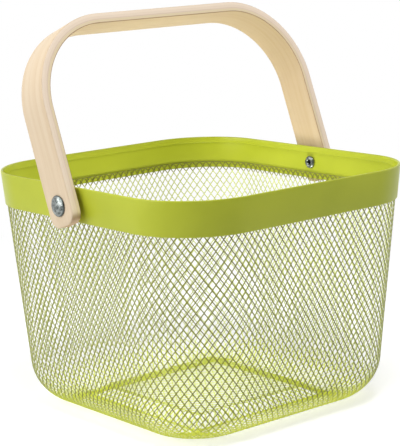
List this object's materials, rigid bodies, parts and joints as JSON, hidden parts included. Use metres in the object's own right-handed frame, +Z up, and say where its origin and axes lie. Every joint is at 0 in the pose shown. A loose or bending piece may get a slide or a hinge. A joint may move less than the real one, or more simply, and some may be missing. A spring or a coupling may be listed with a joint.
{
  "type": "carrying basket",
  "caption": "Rounded square mesh basket with a smooth metal rim band and a bent wooden handle that swings on rivets, for storing and carrying.",
  "frame": {"origin": "middle of the footprint, on the surface the basket stands on", "axes": "+Z up; X runs along the handle's pivot axis from the left rivet to the right one; the handle leans towards +Y"},
  "size_m": [0.2684, 0.2598, 0.3027],
  "materials": {
    "lime_paint": "smooth satin powder coat",
    "lime_mesh": "satin powder coat over expanded steel mesh",
    "birch": "clear matt lacquer on bent birch plywood",
    "zinc": "dull zinc plate",
    "spacer": "matt grey moulding"
  },
  "bodies": {
    "basket": {"rim_band": "lime_paint", "mesh_body": "lime_mesh", "floor_panel": "lime_mesh", "rivet_left": "zinc", "rivet_right": "zinc", "spacer_left": "spacer", "spacer_right": "spacer"},
    "handle": {"handle": "birch"}
  },
  "joints": [
    {"name": "handle_swing", "type": "hinge", "parent": "basket", "child": "handle", "pos_m": [0, 0, 0.1705], "axis": [-1, 0, 0], "range_deg": [-94.7, 53.3]}
  ]
}
